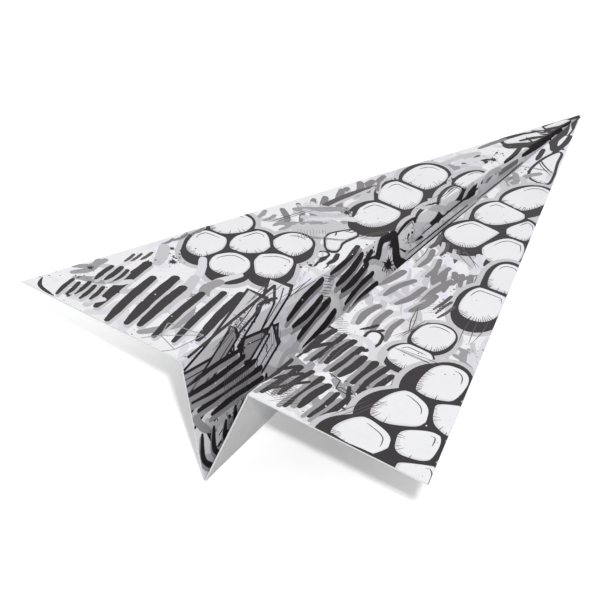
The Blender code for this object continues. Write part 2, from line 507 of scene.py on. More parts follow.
def stripes(origin, along, across, count, width, colour=INK, shade=None, bend=0.12, fray=1, uneven=0.3):
    """A bank of stripes from origin: along is one stripe's run, and across the
    step from each to the next."""
    origin, along, across = (np.array(v, float) for v in (origin, along, across))
    side = np.array([-along[1], along[0]])
    for i in range(count):
        a = origin + across * (i + rng.uniform(-0.12, 0.12)) + along * rng.uniform(0, uneven * 0.6)
        b = origin + across * (i + rng.uniform(-0.2, 0.2)) + along * rng.uniform(1 - uneven * 0.5, 1)
        s = rng.choice((-1, 1)) * bend
        stripe([a, (a + b) / 2 + side * s * 0.6, b], width * rng.uniform(0.8, 1.2), colour, shade, fray)


def tangle(x, y, rx, ry, turns, width, colour=INK, turn=0.0):
    """A loose looped scribble that winds across a patch."""
    c, s = math.cos(math.radians(turn)), math.sin(math.radians(turn))
    phase, lean = rng.uniform(0, 6), rng.uniform(0.5, 1.0)
    pts = []
    for i in range(turns * 8 + 1):
        t = i / (turns * 8)
        w = 2 * math.pi * t * turns + phase
        px = rx * (2 * t - 1) + 0.55 * rx / turns * math.sin(w) * 1.6 + lean * ry * 0.45 * math.cos(w)
        py = ry * math.cos(w) * (0.72 + 0.28 * math.sin(5 * t + phase))
        pts.append((x + px * c - py * s, y + px * s + py * c))
    put(colour, ribbon(smooth(pts, steps=3), width, (0.1, 0.4), nib=turn + 20))


def grain(x, y, rx, ry, count, length, width, turn, colour=INK, jitter=28):
    """A field of short curved dashes that lean one way."""
    for _ in range(count):
        cx, cy = x + rng.uniform(-rx, rx), y + rng.uniform(-ry, ry)
        a = math.radians(turn + rng.uniform(-jitter, jitter))
        d, n = np.array([math.cos(a), math.sin(a)]), np.array([-math.sin(a), math.cos(a)])
        r = length * rng.uniform(0.5, 1.1) / 2
        c0 = np.array([cx, cy])
        put(colour, ribbon(smooth([c0 - d * r, c0 + n * r * rng.uniform(-0.3, 0.3), c0 + d * r]), width * rng.uniform(0.7, 1.2), (0.2, 0.5)))


def cluster(forms, line=1.7, drop=(4.6, -1.7), rim=WASH, fill=PAPER, tint=PALE, ticks=True):
    """Fat rounded lobes packed together on one heavy drop. Each form is a path
    and the lobe's widths along it."""
    edges = []
    for path, widths in forms:
        e = ribbon(smooth(path, steps=8), widths)
        edges.append(thin_out(smooth(e[:: max(1, len(e) // 26)], True, 5), 0.05))
    steps = max(2, int(math.hypot(*drop) / 0.8))
    loops = [np.vstack([e, e[:2]]) for e in edges]
    drop = np.array(drop, float)
    if rim:
        put(rim, *[ribbon(l + drop * 0.9, line * 2 + 4.4, cap=False) for l in loops])
    put(INK, *[ribbon(l, line * 2, cap=False) for l in loops], *[q for e in edges for q in extrude(e, drop, steps)])
    put(INK, *[ribbon(l + drop, line, cap=False) for l in loops])
    for e, l in zip(edges, loops):
        mid = e.mean(0)
        span = e.max(0) - e.min(0)
        put(INK, ribbon(l, line * 1.15, cap=False))
        put(tint, e)
        lift = -drop / np.hypot(*drop) * min(span) * 0.07
        put(fill, thin_out(mid + (e - mid) * np.array((0.93, 0.84)) + lift))
        if ticks:
            k = rng.randrange(len(e))
            for j in range(rng.choice((1, 2, 3))):
                q = e[(k + 3 * j) % len(e)]
                inward = (mid - q) / (np.hypot(*(mid - q)) + 1e-9)
                side = np.array([-inward[1], inward[0]])
                put(INK, ribbon(smooth([q, q + inward * min(span) * 0.17 + side * 0.6, q + inward * min(span) * 0.3 + side * 1.5]), line * 0.62, (0, 0.85), cap=False))


def chevrons(x, y, turn, count, gap, size, width, colour=INK):
    a = math.radians(turn)
    d, n = np.array([math.cos(a), math.sin(a)]), np.array([-math.sin(a), math.cos(a)])
    for i in range(count):
        c = np.array([x, y]) + d * gap * i
        put(colour, ribbon(np.array([c - d * size * 0.6 + n * size, c, c - d * size * 0.6 - n * size]), width, (0, 0), cap=False))


def grit(count, small, large, colours, power=0.5):
    """Fine specks over the whole sheet."""
    for i in range(count):
        x = 300 * rng.uniform(0.004, 1) ** power
        y = rng.uniform(-0.445, 0.445) * x
        s = rng.uniform(small, large)
        put(colours[i % len(colours)], oval(x, y, s, s * rng.uniform(0.6, 1), rng.uniform(0, 180), 7, 0.12))


def shaved(poly, point, way):
    """The part of a polygon behind the line through point that faces way."""
    poly = np.asarray(poly, float)
    depth = (poly - point) @ way
    out = []
    for i in range(len(poly)):
        j = (i + 1) % len(poly)
        if depth[i] <= 0:
            out.append(poly[i])
        if (depth[i] < 0) != (depth[j] < 0):
            t = depth[i] / (depth[i] - depth[j])
            out.append(poly[i] + (poly[j] - poly[i]) * t)
    return np.array(out)


def eased(poly, times=2):
    """A polygon with its corners cut back."""
    for _ in range(times):
        after = np.roll(poly, -1, 0)
        poly = np.stack([poly * 0.75 + after * 0.25, poly * 0.25 + after * 0.75], 1).reshape(-1, 2)
    return poly


def pebbles(seeds, line=2.0, drop=(4.6, -2.0), gap=1.9, rim=WASH, ground=INK, tint=PALE, lines=True):
    """Rounded pebbles packed on one heavy dark ground. Each seed is an oval."""
    drop = np.array(drop, float)
    far = math.hypot(*drop)
    way = drop / far
    steps = max(2, int(far / 0.9))
    if rim:
        for x, y, rx, ry, turn in seeds:
            e = oval(x, y, rx + line + 2.2, ry + line + 2.2, turn, 30)
            put(rim, thin_out(e), thin_out(e + drop * 0.6), thin_out(e + drop * 1.1))
    for x, y, rx, ry, turn in seeds:
        e = thin_out(oval(x, y, rx + line, ry + line, turn, 34), 0.06)
        put(ground, e, *extrude(e, drop, steps))
    for i, (x, y, rx, ry, turn) in enumerate(seeds):
        c = np.array([x, y])
        t = np.linspace(0, 2 * math.pi, 40, endpoint=False)
        k, s = math.cos(math.radians(turn)), math.sin(math.radians(turn))
        px = rx * np.sign(np.cos(t)) * np.abs(np.cos(t)) ** 0.82
        py = ry * np.sign(np.sin(t)) * np.abs(np.sin(t)) ** 0.82
        cell = np.stack([x + px * k - py * s, y + px * s + py * k], 1)
        for j, other in enumerate(seeds):
            if i == j:
                continue
            d = np.array(other[:2]) - c
            n = math.hypot(*d)
            d /= n
            reach = []
            for rx2, ry2, turn2 in ((rx, ry, turn), other[2:]):
                a = math.atan2(d[1], d[0]) - math.radians(turn2)
                reach.append(1 / math.hypot(math.cos(a) / rx2, math.sin(a) / ry2))
            if reach[0] + reach[1] > n - gap:
                cell = shaved(cell, c + d * (n * reach[0] / sum(reach) - gap / 2), d)
        if len(cell) < 3:
            continue
        cell = eased(eased(cell, 1)[::2], 2)
        mid = cell.mean(0)
        span = cell.max(0) - cell.min(0)
        put(tint, thin_out(cell))
        put(PAPER, thin_out(mid + (cell - mid) * 0.93 - way * min(span) * 0.045))
        if lines:
            out = cell - mid
            out /= np.hypot(*out.T)[:, None] + 1e-9
            lean = out @ way
            picks = [q for q in range(0, len(cell), 3) if lean[q] > 0.62]
            for q in picks:
                put(INK_SOFT, ribbon(np.array([cell[q], cell[q] - out[q] * rng.uniform(0.1, 0.22) * min(span)]), 0.36, (0.0, 0.6), cap=False))
            arc = [q for q in range(len(cell)) if lean[q] < -0.72]
            if len(arc) > 6:
                while arc[-1] - arc[0] != len(arc) - 1 and arc[0] == 0:
                    arc = arc[1:] + [arc[0] + len(cell)]
                curve = np.array([cell[q % len(cell)] - out[q % len(cell)] * min(span) * 0.13 for q in sorted(arc)])
                if np.hypot(*np.diff(curve, axis=0).T).max() < 6:
                    put(INK_SOFT, ribbon(curve, 0.5, (0.6, 0.6), cap=False))

# ------------------------------------------------------- the pattern's layout
def ghost(x, y, length, width, turn, colour):
    a = math.radians(turn)
    d, n = np.array([math.cos(a), math.sin(a)]), np.array([-math.sin(a), math.cos(a)])
    c = np.array([x, y])
    bow = rng.uniform(-0.25, 0.25) * length
    put(colour, ribbon(smooth([c - d * length / 2, c + n * bow, c + d * length / 2]), width, (0.1, 0.2), wobble=0.06))


def ghosts(x, y, rx, ry, count, width=3.4, turn=20, colours=(PALE, WASH, LILAC)):
    for i in range(count):
        ghost(x + rng.uniform(-rx, rx), y + rng.uniform(-ry, ry), rng.uniform(3.2, 6.5) * width, width * rng.uniform(0.7, 1.3), turn + rng.uniform(-35, 35), colours[i % len(colours)])


GREY_DOWN = (GREY, (1.6, -1.7))
GREY_UP = (GREY, (1.5, 1.5))
PALE_DOWN = (WASH, (1.3, -1.2))
PALE_UP = (WASH, (1.3, 1.2))

# Pale washes and ghost strokes under everything, over the whole sheet.
for _ in range(46):
    x = rng.uniform(20, 295)
    y = rng.uniform(-0.45, 0.45) * x
    rx = rng.uniform(6, 18)
    put(rng.choice((PALE, LILAC, LILAC, WHITE, PALE)), thin_out(smooth(oval(x, y, rx, rx * rng.uniform(0.3, 0.7), rng.uniform(-40, 60), 11, 0.25), True, 4)))
for i in range(150):
    x = 300 * math.sqrt(rng.uniform(0.006, 1))
    y = rng.uniform(-0.45, 0.45) * x
    ghost(x, y, rng.uniform(7, 19), rng.uniform(1.6, 4.2), rng.choice((-62, -30, 25, 58, 80)) + rng.uniform(-14, 14), (WASH, PALE, PALE, LILAC, PALE)[i % 5])
for _ in range(50):
    x = 300 * math.sqrt(rng.uniform(0.02, 1))
    spatter(x, rng.uniform(-0.43, 0.43) * x, 5, 7, 0.55, rng.choice((WASH, GREY)))

# --- left wing, nose to tip
stripe([(3, 0.6), (9, 2.6), (15, 5.6)], 1.8)
cluster([([(11, 3.0), (18, 5.8), (25, 9.0)], [1.4, 3.0, 1.6])], 1.3, (1.6, -0.9), None, ticks=False)
stripe([(20, 1.6), (27, 5.0), (33, 12.6)], 3.0)
cluster([([(31, 6.8), (41, 11.6), (51, 18.4)], [2.6, 6.6, 3.4])], 2.2, (3.4, -1.8), None)
stripe([(26, 3.4), (40, 4.8), (55, 7.2)], 2.8)
stripe([(37, 14.6), (44, 18.4), (50, 21.6)], 1.8)
stripe([(50, 11.6), (60, 11.0), (70, 11.8)], 2.3)
stripe([(30, 2.6), (38, 9.2), (46, 14)], 2.2)
stripe([(49, 20.2), (57, 23.4), (66, 26.6)], 2.2, MID)
splat(71.5, 17.0, 1.9)
spatter(75, 19.6, 3.6, 30, 0.85)
spatter(64, 17.5, 3.0, 12, 0.6)
stripes((70, 26.4), (13, 3.8), (1.6, -3.2), 2, 1.9, INK_SOFT, PALE_DOWN, 0.08, 0)
stripe([(60, 7.0), (78, 9.6), (97, 12.8)], 2.4, MID, PALE_DOWN)
ghosts(86, 27, 11, 7, 9, 3.0, 60, (WASH, GREY, PALE))
stripes((81, 31.4), (10, 3.6), (5.4, 0.4), 3, 2.2, WASH, None, 0.1, 0)
# The large lobes by the crease.
stripes((90, 38.4), (9, 2.4), (4.6, 1.6), 3, 2.0, MID, PALE_DOWN, 0.1, 0)
pebbles([(107, 35.4, 12.6, 8.2, 8), (129, 37.4, 12.4, 9.2, -8), (151, 39.0, 12.0, 8.4, 14)], 2.3, (5.6, -2.8))
pebbles([(96, 18.4, 10, 4.0, 12), (115, 19.0, 10.4, 3.6, -3), (134, 20.2, 9.6, 3.6, 5), (150.6, 20.8, 9, 3.4, -6)], 1.8, (4.4, -2.0), 1.4)
splat(100.6, 24.6, 1.2)
spatter(103, 25, 2.6, 9, 0.5)
spatter(118, 44.4, 3.6, 9, 0.5)
stripe([(158, 25), (167, 27.4), (173, 22.4), (181, 25.8)], 4.0)
splat(178.4, 26.2, 2.1)
spatter(176, 27, 4.5, 20, 0.8)
# Grey brush marks along the leading edge.
stripes((117, 50.4), (15, -3.4), (6.6, 2.9), 4, 3.0, MID, PALE_DOWN, 0.16, 0)
stripes((142, 60.4), (17, -9), (6.8, 3.4), 5, 2.9, MID, PALE_DOWN, 0.1, 0)
swoosh([(128, 50), (143, 55.6), (160, 60), (174, 58)], 2.8, INK_SOFT, PALE_DOWN)
ghosts(171, 56, 12, 8, 18, 3.4, 65, (WASH, GREY, PALE, WASH))
stripes((176, 60.6), (9, -12), (3.4, 2.0), 3, 3.0, WASH, None, 0.12, 0)
stripe([(144, 46.6), (151, 47.8), (159, 46.2)], 1.9, INK)
splat(157.6, 49.6, 1.7)
spatter(156, 50, 4, 12, 0.6)
cluster([([(172, 40.6), (180, 44), (187, 42)], [5.0, 7.6, 5.4])], 1.0, (1.4, -0.6), None, PAPER, PALE)
stripes((190, 37.6), (12, 1), (1.4, 3.3), 3, 2.1, INK)
cluster([([(194, 42.4), (198, 44.6), (203, 43.4)], [3.0, 4.0, 3.0])], 1.1, (1.2, -0.6), None, ticks=False)
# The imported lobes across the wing.
stripes((178, 78), (8, 1), (1.0, -4.4), 4, 2.2, GREY, None, 0.1, 0)
pebbles([(197.4, 84.0, 10.2, 7.4, 8), (217.2, 84.8, 10.6, 7.4, -8), (205.0, 70.4, 10.6, 7.6, 4), (224.0, 69.8, 9.8, 8.0, -6), (196.0, 56.6, 9.8, 7.4, 10), (214.6, 55.6, 10.8, 7.6, -6)], 1.7, (5.2, -1.8), 1.3)
for k in range(7):
    put(WASH, ribbon(np.array([(193 + 4.6 * k, 43.4 - 0.25 * k), (196.2 + 4.6 * k, 42.4 - 0.25 * k)]), 1.0, (0, 0.4)))
spatter(233, 90, 4.2, 26, 0.9)
splat(238, 88.6, 1.8)
splat(229.4, 94, 1.2)
spatter(208, 45, 6, 18, 0.5, INK)
spatter(215, 92.6, 4, 14, 0.6, MID)
stripes((207, 91.6), (9, 2.4), (7.4, 2.8), 3, 1.8, MID, None, 0.1, 0)
# Long dark strokes at the rear of the wing.
ghosts(262, 75, 26, 22, 20, 4.0, 5, (WASH, PALE, GREY))
stripes((241, 55.0), (47, -1.0), (0.5, 6.9), 7, 3.7, INK, PALE_DOWN, 0.02, 0, 0.34)
spatter(270, 98, 5, 20, 0.7)
spatter(243, 97, 6, 20, 0.6)
for a, b in (((276, 53), (291, 57)), ((291, 57), (286, 66)), ((276, 53), (286, 66)), ((286, 66), (292, 71)), ((291, 57), (297, 62)), ((286, 66), (277, 68)), ((277, 68), (276, 53))):
    put(GREY, ribbon(np.array([a, b], float), 0.5, (0, 0), cap=False))
# Small marks out at the tip.
ghosts(268, 108, 16, 8, 14, 2.6, 40, (WASH, PALE, GREY))
swoosh([(279, 123.6), (285, 120.6), (288, 112)], 1.8, INK)
stripes((252, 99.6), (13, 0.4), (1.6, 3.1), 3, 2.1, INK, PALE_DOWN, 0.04, 0, 0.4)
stripes((268, 100.6), (14, -0.4), (1.0, 3.2), 5, 2.0, INK, PALE_DOWN, 0.04, 0, 0.4)
stripes((236, 98.8), (9, 0.6), (3.4, 2.6), 3, 1.6, INK_SOFT, None, 0.04, 0, 0.4)
splat(262, 112.4, 1.3)
splat(284, 108.4, 1.0)
spatter(270, 112, 8, 30, 0.5)

# --- left keel
ghosts(150, 14, 42, 8, 26, 3.0, 20, (WASH, PAPER, PALE))
ghosts(110, 10, 30, 5, 14, 2.6, 15, (PALE, WASH, PAPER))
stripe([(56, 4.2), (76, 5.4), (96, 7.2)], 0.8, INK_SOFT)
stripe([(94, 11.6), (114, 13.2), (140, 14.8)], 1.0, INK)
stripe([(98, 5.8), (126, 8.0), (156, 10.0)], 1.3, INK)
stripe([(104, 8.6), (130, 10.6), (152, 12.4)], 0.7, INK)
brush([(152, 5), (160, 13), (158, 24)], 5.6, INK)
splat(166.6, 15.4, 3.2)
splat(161, 22.4, 2.5)
swoosh([(98, 2.4), (122, 4.4), (144, 3.6)], 1.4, MID)
spatter(150, 18, 6, 24, 0.7)
stripes((176, 12.6), (25, -1.5), (0.8, 5.4), 5, 3.2, INK, GREY_DOWN, 0.06, 0)
stripes((205, 12.0), (27, -2.4), (1.0, 5.4), 5, 3.1, INK, GREY_DOWN, 0.06, 0)
stripe([(178, 10.4), (196, 11.4), (216, 9.0)], 2.6, MID)
stripe([(172, 4.2), (200, 6.2), (228, 5.2)], 2.6, INK, (WASH, (1.0, 1.2)))
ghosts(244, 22, 14, 10, 8, 3.0, 30, (WASH, PALE))
# Folded bolts with grey faces, running back over the crease.
bolt([(227, 46), (262, 34), (246, 29), (290, 13)], 8.4, 1.3, PALE, INK)
bolt([(240, 50), (300, 42), (272, 36), (300, 27)], 7.6, 1.2, WASH, INK)
bolt([(266, 44), (304, 31)], 5.2, 1.1, GREY, INK)
zigzag([(228, 47.6), (292, 50.4)], 1.4, INK)
zigzag([(228, 47.6), (251, 36), (247, 31.4), (276, 19)], 1.2, INK)
for k in range(6):
    crack(262 + 6 * k, 39 - 1.6 * k, -70, 6.5, 0.65, INK, 1)
    crack(250 + 7.4 * k, 29 - 2.0 * k, -64, 5.6, 0.55, INK, 0)
splat(240.6, 44.6, 2.2)
stripe([(236, 43), (243, 45.6), (250, 44)], 2.2, INK)
spatter(258, 47, 7, 26, 0.6)
# Close marks towards the keel's tail.
ghosts(276, 13, 22, 10, 16, 3.0, 60, (GREY, WASH))
for k in range(8):
    x = 246 + 7.0 * k
    stripe([(x, 1.2), (x + 4.4, 8), (x + 1.6, 15.4 + rng.uniform(-1, 3))], 2.6, INK, (GREY, (1.1, -1.0)))
stripes((254, 17.5), (40, 6), (2.2, 4.6), 5, 2.5, INK, GREY_DOWN, 0.03, 0)
splat(271, 14.6, 1.9)
spatter(280, 15, 8, 26, 0.65)

# --- right keel
ghosts(150, -13, 50, 8, 30, 3.0, -20, (WASH, GREY, PALE))
stripe([(60, -3.6), (84, -7.0), (110, -10.2)], 2.8, INK_SOFT, PALE_UP)
swoosh([(112, -5.0), (131, -12.4), (150, -14)], 4.6, INK, GREY_UP)
cluster([([(150, -6.6), (166, -9.4), (184, -8.4)], [5.2, 7.0, 5.6]), ([(150, -14.4), (168, -18), (190, -18.4)], [6.0, 7.4, 6.4])], 1.6, (3.4, 1.4))
stripes((198, -7), (24, -3), (1.2, -5.6), 4, 3.6, INK, GREY_UP, 0.08, 0)
swoosh([(208, -6), (203, -18), (211, -33)], 3.8, INK, GREY_UP)
swoosh([(224, -7), (228, -20), (222, -35)], 3.8, INK, GREY_UP)
stripes((236, -6), (26, -5), (1.6, -5.8), 6, 3.4, INK, GREY_UP, 0.1, 0)
for k in range(7):
    x = 246 + 7.6 * k
    stripe([(x, -2.0), (x + 4, -10), (x + 1.6, -20 - rng.uniform(0, 6))], 3.0, INK, GREY_UP)
stripes((262, -12), (34, -4), (2.0, -5.0), 4, 2.6, INK, GREY_UP, 0.03, 0)
grain(272, -28, 18, 6.0, 22, 6.6, 2.4, -63, INK)
stripes((252, -24), (34, -4), (1.2, -6.2), 4, 3.2, INK, GREY_UP, 0.1, 0)
bolt([(222, -30), (252, -36), (240, -41), (272, -45)], 5.4, 1.1, PALE, INK)
spatter(250, -20, 12, 40, 0.7)

# --- right wing, nose to tip
cluster([([(9, -1.8), (16, -4.0), (24, -7.4)], [1.2, 3.0, 1.4])], 0.9, (1.2, 0.4), None, ticks=False)
stripe([(4, -0.8), (11, -2.6), (17, -6.2)], 2.0)
stripe([(15, -1.6), (24, -5.4), (34, -7.4), (43, -12.4)], 4.0)
stripe([(24, -9.6), (33, -12.4), (45, -14.2)], 2.6)
stripe([(31, -4), (38, -8.6), (38, -15)], 3.0)
stripe([(46, -9.4), (52, -11.6), (57, -13.2)], 2.4)
stripe([(46, -5.0), (62, -9.6), (84, -14.2)], 2.2, INK_SOFT, PALE_UP)
blob([(43, -15.0), (55, -14.8), (68, -17.4), (74, -22.4), (72, -29.4), (63, -26.8), (52, -21.2), (43, -17.4)], 0.9, (0.0, 0.0), folds=[([(56, -15.0), (59, -19.4), (62, -26)], 0.9), ([(57.8, -15.0), (61, -19.6), (64, -26.2)], 0.6)], shade=[([(60, -24.0), (66, -26.2), (70, -27.6)], 2.0)])
stripes((76, -15.4), (14, -2.0), (2.0, -3.4), 2, 2.0, MID, PALE_UP, 0.08, 0)
ghosts(84, -22, 10, 6, 10, 2.8, -30, (WASH, PALE, GREY))
spatter(70, -12.6, 5, 18, 0.6)
# The large lobes on the wing.
pebbles([(90, -31.6, 14.0, 7.8, 6), (113.0, -32.8, 12.2, 9.8, -6), (135.4, -34.6, 12.8, 9.2, 10), (115.4, -46.0, 9.4, 5.8, -22), (134.8, -50.6, 12.8, 8.6, -25)], 2.0, (5.4, -2.6), 1.5)
stripes((146, -26.4), (14, -5), (2.0, -6.0), 3, 2.0, INK_SOFT, PALE_UP, 0.1, 0)
# Mid-grey brush marks behind them.
ghosts(182, -46, 30, 16, 26, 3.6, -55, (WASH, PALE, LILAC, WASH))
stripes((157, -31.6), (19, -5), (3.0, -6.6), 4, 2.9, MID, PALE_UP, 0.1, 0)
stripes((181, -34.6), (22, 1), (1.0, -7.0), 4, 3.2, MID, PALE_UP, 0.08, 0)
swoosh([(160, -56), (176, -52), (196, -53)], 3.4, MID, PALE_UP)
stripes((206, -36), (20, -4), (1.6, -7.2), 4, 3.0, MID, PALE_UP, 0.1, 0)
slashes(162, -58, 6, 3.4, 11, 2.6, -30, MID)
spatter(178, -60, 7, 30, 0.8, MID)
spatter(160, -38, 7, 20, 0.6, MID)
stripes((222, -53), (8, 2.4), (1.4, -3.4), 2, 2.0, INK, None, 0.05, 0)
cluster([([(229, -57), (233, -58.4), (237, -59)], [5.0, 5.6, 4.2])], 1.3, (1.8, -0.7), None, ticks=False)
# Lobes at the leading edge, on a broad dark drop.
pebbles([(153.6, -65.0, 12.6, 6.2, -22), (176.6, -70.6, 13.6, 8.4, -16)], 2.3, (6.0, -2.6))
stripes((182, -58.8), (15, -1.0), (1.5, -2.6), 3, 1.5, INK_SOFT, None, 0.04, 0)
# A banded pebble.
pebbles([(211.6, -72.6, 10.0, 7.6, -8), (229.6, -75.0, 8.6, 8.2, 0)], 1.3, (2.4, -0.8), 1.4)
ghosts(214, -92, 12, 5, 12, 2.8, -40, (WASH, GREY, PALE))
spatter(207, -88, 5, 20, 0.7, GREY)
# Dark marks across the rear of the wing.
ghosts(262, -62, 26, 20, 26, 3.6, -60, (WASH, GREY, PALE))
stripes((237, -44.0), (24, -3), (0.5, -4.9), 8, 3.0, INK, GREY_UP, 0.04, 0, 0.4)
stripes((265, -47.0), (26, -2.4), (0.2, -5.0), 8, 3.1, INK, GREY_UP, 0.04, 0, 0.4)
slashes(245, -50, 4, 5.6, 12, 2.0, 20, INK)
slashes(272, -60, 5, 5.2, 13, 2.0, 24, INK)
slashes(256, -82, 5, 2.8, 12, 1.8, -40, INK)
crack(256, -82, -14, 30, 0.7, INK, 2)
crack(262, -62, -60, 24, 0.6, INK, 2)
spatter(264, -78, 9, 34, 0.7)
stripes((241, -80), (10, -3), (3.6, -1.4), 3, 1.8, MID, None, 0.1, 0)
# The great lobes at the trailing edge and the tip.
pebbles([(234.2, -94.2, 13.6, 8.4, -14), (258.8, -95.0, 13.8, 10.0, 0), (282.4, -95.0, 11.6, 10.4, 10), (250.6, -108.6, 11.0, 6.2, -24), (272.6, -111.2, 13.4, 7.8, -18), (286.0, -121.8, 9.4, 7.6, -30)], 2.6, (4.2, 2.4), 1.8)
stripes((237, -109.6), (9, -4.4), (4.0, -1.4), 2, 2.2, INK, None, 0.1, 0)
stripe([(291.6, -86), (291.6, -95), (289, -104)], 3.4, INK)

# Fine detail over everything: sketch lines, hatching and specks.
for x, y, turn in ((112, 22, 8), (168, 34, 30), (182, 47, 60), (236, 49, 2), (268, 46, -12), (300, 40, -12), (222, 37, 5), (176, 68, 24)):
    for k in range(3):
        a = math.radians(turn + rng.uniform(-5, 5))
        d = np.array([math.cos(a), math.sin(a)])
        s = np.array([x, y]) + rng.uniform(-3, 3)
        put(INK_SOFT, ribbon(smooth([s - d * 10, s + rng.uniform(-0.8, 0.8), s + d * 11]), 0.38, (0.5, 0.8), cap=False))
for x, y, turn in ((63, -19, 60), (152, -44, -60), (168, -28, -20), (214, -63, 5), (226, -78, 80), (252, -54, -12), (270, -84, 10), (205, -62, -30), (244, -40, -20), (196, -80, -20)):
    for k in range(3):
        a = math.radians(turn + rng.uniform(-5, 5))
        d = np.array([math.cos(a), math.sin(a)])
        s = np.array([x, y]) + rng.uniform(-3, 3)
        put(INK_SOFT, ribbon(smooth([s - d * 9, s + rng.uniform(-0.8, 0.8), s + d * 10]), 0.38, (0.5, 0.8), cap=False))
hatch(246, 33, 12, 1.1, 9, -66, 0.3, INK_SOFT)
hatch(270, 30, 14, 1.1, 10, -66, 0.3, INK_SOFT)
hatch(258, 42, 10, 1.3, 7, 60, 0.3, INK_SOFT)
hatch(205, 28, 9, 1.2, 7, 35, 0.3, INK_SOFT)
hatch(282, -60, 12, 1.3, 9, 25, 0.3, INK_SOFT, True)
hatch(232, -46, 9, 1.3, 8, 40, 0.3, INK_SOFT)
hatch(180, 56, 10, 1.3, 8, -30, 0.3, GREY)
hatch(190, -58, 10, 1.3, 8, 30, 0.3, GREY)
grit(420, 0.12, 0.42, (INK, INK_SOFT, WHITE))
grit(120, 0.1, 0.3, (INK,), 0.9)

# ------------------------------------------------------------ print to meshes
CORE = (196, 196, 198)  # the cut edge of the cover sheet
palette = [PAPER, CORE] + sorted({c for c, _ in shapes if c != PAPER})
drawn = []
for colour, polygons in shapes:
    for poly in polygons:
        drawn.append((palette.index(colour), poly, poly.min(0), poly.max(0)))


def within(points, poly):
    """Which points the polygon winds round."""
    px, py = points[:, 0][:, None], points[:, 1][:, None]
    out = np.zeros(len(points), int)
    x0, y0 = poly[:, 0], poly[:, 1]
    x1, y1 = np.roll(x0, -1), np.roll(y0, -1)
    size = max(1, int(4e6 / len(poly)))
    for s in range(0, len(points), size):
        qx, qy = px[s : s + size], py[s : s + size]
        left = (x1 - x0) * (qy - y0) - (qx - x0) * (y1 - y0)
        up, down = (y0 <= qy) & (y1 > qy) & (left > 0), (y0 > qy) & (y1 <= qy) & (left < 0)
        out[s : s + size] = up.sum(1) - down.sum(1)
    return out != 0


def paint(points):
    """The ink on each flat point: the topmost shape that covers it."""
    ink = np.full(len(points), -1)
    first, last = points.min(0), points.max(0)
    for index, poly, lo, hi in reversed(drawn):
        if (lo > last).any() or (hi < first).any():
            continue
        near = np.flatnonzero((ink < 0) & (points > lo).all(1) & (points < hi).all(1))
        if len(near):
            ink[near[within(points[near], poly)]] = index
    ink[ink < 0] = 0
    return ink


def clipped(a, b, hull):
    """The parts of the segments a to b inside a convex hull."""
    t0, t1 = np.zeros(len(a)), np.ones(len(a))
    d = b - a
    centre = hull.mean(0)
    for p, q in zip(hull, np.roll(hull, -1, 0)):
        n = np.array((-(q - p)[1], (q - p)[0]))
        if n @ (centre - p) < 0:
            n = -n
        at, rate = (a - p) @ n, d @ n
        with np.errstate(divide="ignore", invalid="ignore"):
            t = -at / rate
        t0 = np.where(rate > 0, np.maximum(t0, t), t0)
        t1 = np.where(rate < 0, np.minimum(t1, t), t1)
        t1 = np.where((rate == 0) & (at < 0), -1, t1)
    keep = t1 - t0 > 1e-9
    return (a + d * t0[:, None])[keep], (a + d * t1[:, None])[keep]


def triangles(segments, region):
    """Triangulates the region with every segment as an edge. Returns the
    vertices, the triangles, and each triangle's cell between the segments."""
    points, index, edges = [], {}, []

    def at(p):
        key = (round(float(p[0]), 4), round(float(p[1]), 4))
        if key not in index:
            index[key] = len(points)
            points.append(Vector((float(p[0]), float(p[1]))))
        return index[key]

    for p, q in zip(region, np.roll(region, -1, 0)):
        edges.append((at(p), at(q)))
    border = len(edges)
    for p, q in segments:
        i, j = at(p), at(q)
        if i != j:
            edges.append((i, j))
    verts, found, faces, _, source, _ = delaunay_2d_cdt(points, edges, [], 0, 5e-4, True)
    verts = np.array([tuple(v) for v in verts])
    faces = [tuple(f) for f in faces if len(f) == 3]
    wall = {(min(i, j), max(i, j)): min(s) < border for (i, j), s in zip(found, source) if s}
    sides = {}
    for k, (a, b, c) in enumerate(faces):
        for i, j in ((a, b), (b, c), (c, a)):
            sides.setdefault((min(i, j), max(i, j)), []).append(k)
    beside = [[] for _ in faces]
    for key, pair in sides.items():
        if len(pair) == 2:
            level = 0 if key not in wall else (2 if wall[key] else 1)
            beside[pair[0]].append((pair[1], level))
            beside[pair[1]].append((pair[0], level))
    tri = np.array(faces)
    p, q, r = (verts[tri[:, k]] for k in range(3))
    size = np.abs((q - p)[:, 0] * (r - p)[:, 1] - (q - p)[:, 1] * (r - p)[:, 0])
    inner = within((p + q + r) / 3, region)
    # The region is what can be reached from its biggest triangle.
    seed = int(np.argmax(np.where(inner, size, 0)))
    keep, todo = {seed}, [seed]
    while todo:
        for other, level in beside[todo.pop()]:
            if level < 2 and other not in keep:
                keep.add(other)
                todo.append(other)
    cell = np.full(len(faces), -1)
    cells = 0
    for k in sorted(keep):
        if cell[k] < 0:
            cell[k], todo = cells, [k]
            while todo:
                for other, level in beside[todo.pop()]:
                    if level == 0 and cell[other] < 0 and other in keep:
                        cell[other] = cells
                        todo.append(other)
            cells += 1
    kept = np.array(sorted(keep))
    return verts, tri[kept], cell[kept], size[kept]


def inked(verts, faces, cell, size):
    """One ink for each cell: the one that most of it shows. Where a cell shows
    several, each of its triangles takes its own."""
    own = paint(verts[faces].mean(1))
    share = np.zeros((cell.max() + 1, own.max() + 1))
    np.add.at(share, (cell, own), size + 1e-12)
    lead = share.argmax(1)[cell]
    mixed = (share.max(1) < 0.98 * share.sum(1))[cell]
    return np.where(mixed & (size > 2e-3), own, lead)


